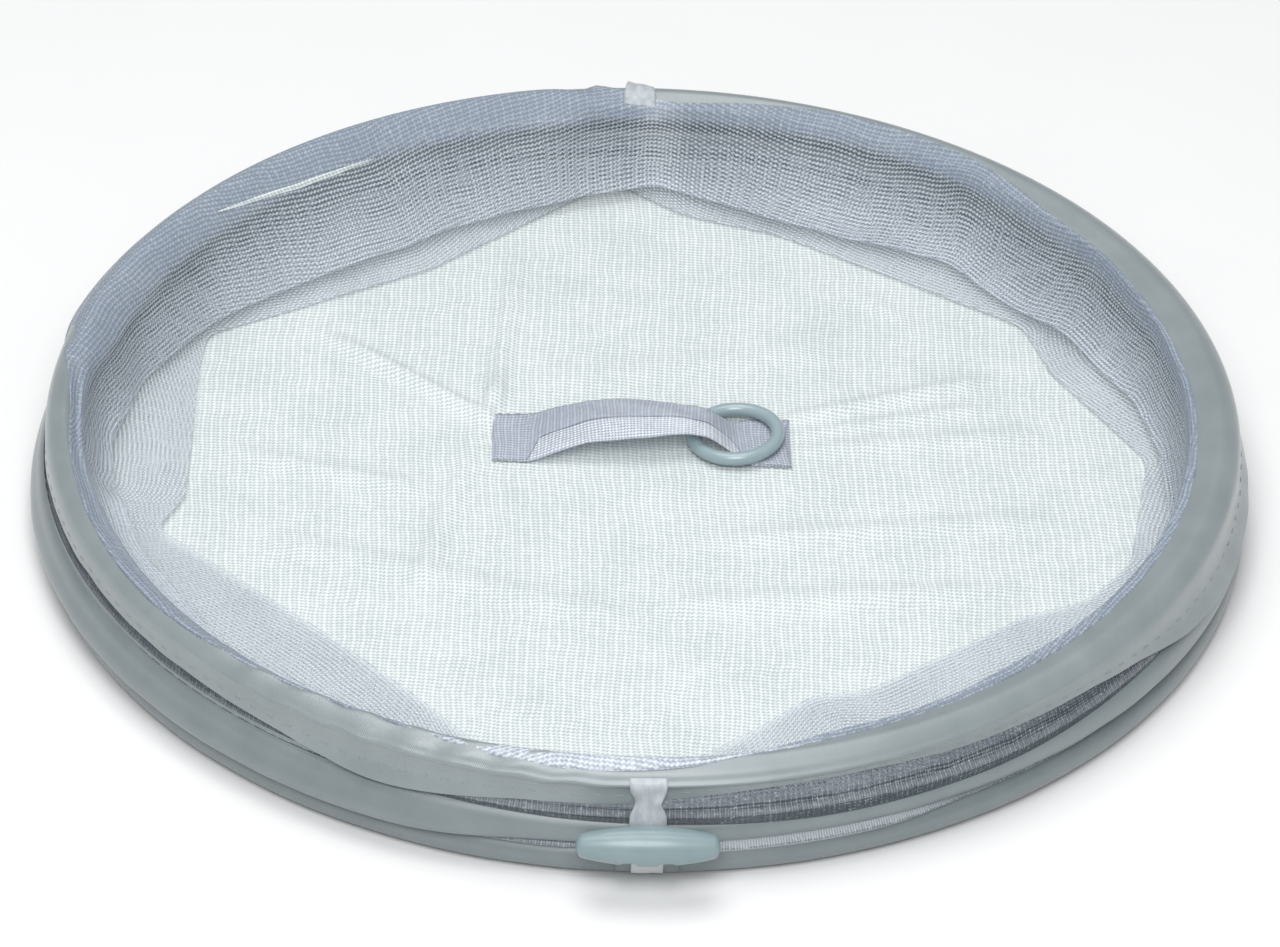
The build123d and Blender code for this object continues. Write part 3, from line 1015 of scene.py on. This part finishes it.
def make_toggle(name, side):
    """A smooth spindle with blunt ends, a mould line on top and two slots below for the tape."""
    around, count = 64, 97
    x = np.sin(np.linspace(-pi / 2, pi / 2, count)) * toggle_half
    body = toggle_radius * (0.50 + 0.50 * np.cos(x / toggle_half * pi / 2) ** 0.8)
    blunt = np.clip((toggle_half - np.abs(x)) / 2.0, 0, 1)
    body = body * np.sqrt(np.clip(1 - (1 - blunt) ** 2, 0.0004, 1))
    phi = np.arange(around) * TURN / around
    below = np.clip(-2.5 * np.sin(phi + 0.25) - 0.5, 0, 1)
    notch = np.exp(-(((np.abs(x) - SLOT_PLACE) / SLOT_REACH) ** 4))[:, None]
    mould_line = np.exp(-(((phi - 1.35 + pi) % TURN - pi) / 0.05) ** 2)
    mould_line = mould_line * (np.abs(x) < 0.6 * toggle_half)[:, None]
    radius = body[:, None] * (1 - SLOT_DEPTH * notch * below) - MOULD_LINE_DEPTH * mould_line
    out = -side * np.cos(phi) * radius
    points = np.stack([
        np.broadcast_to(x[:, None], radius.shape),
        side * abs(toggle_middle[1]) - out,
        toggle_centre_z + np.sin(phi) * radius,
    ], axis=-1)
    if side > 0:
        points = points[:, ::-1]
    uv = uv_grid(np.linspace(0, TURN * toggle_radius, around + 1), x[:, None])
    return grid_piece(name, points, uv, toggle_plastic, closed=True, capped=True)


toggle_centre_z = toggle_high[2] - toggle_radius + 0.05


def strip(name, line, widths, material, thickness, twist, ripple):
    """A narrow cloth strip along a (y, z) line, as one thin closed sheet; widths are along X."""
    line = np.array(line, float)
    rows = len(line)
    side = np.linspace(-1, 1, 13)
    along = np.gradient(line, axis=0)
    along /= np.linalg.norm(along, axis=1, keepdims=True)
    out = np.stack([along[:, 1], -along[:, 0]], axis=-1)
    wave = ripple * np.sin(side * 4.2 + np.arange(rows)[:, None] * 0.22)
    lean = np.zeros(rows) if twist is None else twist
    offset = wave + lean[:, None] * side
    faces = []
    for sign in (1, -1):
        shift = offset + sign * thickness / 2
        y = line[:, 0:1] + out[:, 0:1] * shift
        z = line[:, 1:2] + out[:, 1:2] * shift
        x = np.broadcast_to(widths[:, None] / 2 * side, y.shape)
        sheet = np.stack([x, y, z], axis=-1)
        faces.append(sheet if sign > 0 else sheet[:, ::-1])
    loop = np.concatenate(faces, axis=1)
    distance = lengths(line)
    girth = np.linspace(0, 2 * widths.max(), loop.shape[1] + 1)
    uv = uv_grid(girth, distance[:, None])
    return grid_piece(name, loop, uv, material, closed=True, capped=True), float(distance[-1])


def smooth_line(points, count):
    """An even line through a few (out, height) points."""
    spans = through([np.array(p, float) for p in points], 12)
    distance = lengths(spans)
    at = np.linspace(0, distance[-1], count)
    return np.stack([np.interp(at, distance, spans[:, 0]), np.interp(at, distance, spans[:, 1])], axis=-1)


ribbon_low, ribbon_high = box_mm("front_ribbon")
ribbon_back = abs(ribbon_high[1])  # nearest the hoops, at its top
ribbon_face = abs(ribbon_low[1])  # its outer face, behind the toggle
ribbon_width = ribbon_high[0] - ribbon_low[0]
tape_low, tape_high = box_mm("front_toggle_tape")
tape_width = tape_high[0] - tape_low[0]
# Each ribbon's way down from where it is sewn on, as (out from the rim, up from the ribbon's top). The rear
# one starts inside the rim and comes over the crest.
RIBBON_LINE = {
    "front": [(-0.6, 1.2), (1.5, -0.9), (1.9, -5.0), (2.9, -9.5)],
    "rear": [(-15.0, 0.2), (-11.5, 3.4), (-7.0, 5.3), (-3.0, 4.7), (-0.2, 2.4), (1.2, -0.9), (1.9, -5.0),
             (2.9, -9.5)],
}
TAPE_ROUND = 5.4  # radius of the tape's way round the toggle
RIBBON_THICKNESS = 0.45
TAPE_THICKNESS = 0.6
CORE_THICKNESS = 0.5
CORE_OUT, CORE_DOWN = 0.55, 0.45  # how far the tape's bright core lies off it


def make_closure(side_name, side):
    """A ribbon, its toggle and the toggle's tape; side is -1 at the front and 1 at the back."""
    # ribbon: from where it is sewn on, down between the hoops and the toggle
    down = [(ribbon_back + o, ribbon_high[2] + z) for o, z in RIBBON_LINE[side_name]]
    down += [(ribbon_face - 0.5, 25.0), (ribbon_face - 0.45, 20.0), (ribbon_face - 0.4, ribbon_low[2] + 0.8)]
    line = smooth_line(down, 46)
    line[:, 0] *= side
    share = np.linspace(0, 1, len(line))
    widths = ribbon_width * (1 - 0.30 * np.exp(-(((share - 0.36) / 0.12) ** 2)))
    twist = 0.9 * np.exp(-(((share - 0.34) / 0.1) ** 2))
    ribbon, length = strip(
        f"{side_name}_ribbon_loop", line, widths, ribbon_cloth, RIBBON_THICKNESS, twist, 0.18
    )
    attach(ribbon, "top", "ribbon_satin", f"{side_name}_ribbon")

    toggle = make_toggle(f"{side_name}_toggle_shell", side)
    toggle_body = f"{side_name}_toggle"
    attach(toggle, toggle_body, "toggle_plastic", toggle_body)

    # tape: from its root on the base sleeve, up to the toggle and under it, between its slots
    centre = (abs(toggle_middle[1]), toggle_centre_z)
    root = (base_radius + sleeve_radius * 0.86, 3.4)
    sweep = [
        (centre[0] + TAPE_ROUND * cos(a), centre[1] + TAPE_ROUND * sin(a))
        for a in np.radians([-118, -100, -80, -62])
    ]
    tape_line = smooth_line([root, (root[0] + 1.6, 6.5), (root[0] + 3.4, 11.5), *sweep], 30)
    tape_line[:, 0] *= side
    tape_share = np.linspace(0, 1, len(tape_line))
    tape_widths = tape_width * (1.0 - 0.12 * tape_share)
    tape, tape_length = strip(
        f"{side_name}_tape_strip", tape_line, tape_widths, tape_cloth, TAPE_THICKNESS, None, 0.15
    )
    attach(tape, toggle_body, "tape", f"{side_name}_toggle_tape")
    core_line = tape_line + np.array([side * CORE_OUT, -CORE_DOWN])
    core_widths = np.full(len(core_line), tape_width / 2)
    core, core_length = strip(
        f"{side_name}_tape_core", core_line, core_widths, tape_core_cloth, CORE_THICKNESS, None, 0.1
    )
    attach(core, toggle_body, "tape")


make_closure("front", -1)
make_closure("rear", 1)

# ------------ what the sleeves stand for

for piece, node, body, slot, rows in (
    (base_sleeve, "base_sleeve", "base", "base_sleeve_fabric", base_rows),
    (middle_sleeve, "middle_sleeve", "middle", "middle_sleeve_fabric", middle_rows),
    (binding, "top_binding", "top", "binding_fabric", binding_rows),
):
    attach(piece, body, slot, node)
attach(middle_stitches, "middle", "thread", "middle_seam_thread")
attach(binding_stitches, "top", "thread", "top_seam_thread")

# ------------ stage, light and camera

CAMERA_DISTANCE = 1.981  # metres
CAMERA_ELEVATION = radians(35.93)
CAMERA_AZIMUTH = radians(-1.2)
CAMERA_ROLL = radians(1.36)
CAMERA_LENS = 148.4
AIM = (-0.0008, 0.0064)  # metres right of and above the basket's middle, in the view
SENSOR_WIDTH = 36.0


FLOOR_HALF = 3000
FLOOR_Z = -0.4


def make_floor():
    s = Shader("floor")
    pale = s.blend_colours(s.noise(60, 2), (0.80, 0.80, 0.80), (0.82, 0.82, 0.82))
    s.surface(Base_Color=pale, Roughness=0.9)
    corners = [(-1, -1), (1, -1), (1, 1), (-1, 1)]
    vertices = [(x * FLOOR_HALF, y * FLOOR_HALF, FLOOR_Z) for x, y in corners]
    new_piece("floor", vertices, [(0, 1, 2, 3)], s.material)


def area_light(name, place, size, power):
    """A round lamp that points at the basket's middle."""
    data = bpy.data.lights.new(name, "AREA")
    data.shape = "DISK"
    data.size = size
    data.energy = power
    lamp = add_object(name, data)
    lamp.location = place
    lamp.rotation_euler = (-Vector(place)).to_track_quat("-Z", "Y").to_euler()


KEY_LIGHT = {"place": (-0.1, -1.6, 1.9), "size": 1.4, "power": 40}  # metres and watts
TOP_LIGHT = {"place": (-0.2, 0.2, 2.4), "size": 1.8, "power": 31}
WORLD_COLOUR = (0.96, 0.98, 1.0, 1)
WORLD_STRENGTH = 0.35


def make_studio():
    world = bpy.data.worlds.new("studio")
    world.use_nodes = True
    background = world.node_tree.nodes["Background"].inputs
    background["Color"].default_value = WORLD_COLOUR
    background["Strength"].default_value = WORLD_STRENGTH
    bpy.context.scene.world = world
    area_light("key", **KEY_LIGHT)
    area_light("top", **TOP_LIGHT)
    bpy.context.scene.view_settings.view_transform = "Standard"


def make_camera():
    data = bpy.data.cameras.new("camera")
    data.sensor_width = SENSOR_WIDTH
    data.lens = CAMERA_LENS
    camera = add_object("camera", data)
    turn = Euler((pi / 2 - CAMERA_ELEVATION, 0, CAMERA_AZIMUTH)).to_matrix()
    right, up, back = turn.col
    camera.location = right * AIM[0] + up * AIM[1] + back * CAMERA_DISTANCE
    camera.rotation_euler = (turn @ Euler((0, 0, CAMERA_ROLL)).to_matrix()).to_euler()
    bpy.context.scene.camera = camera


make_floor()
make_studio()
make_camera()
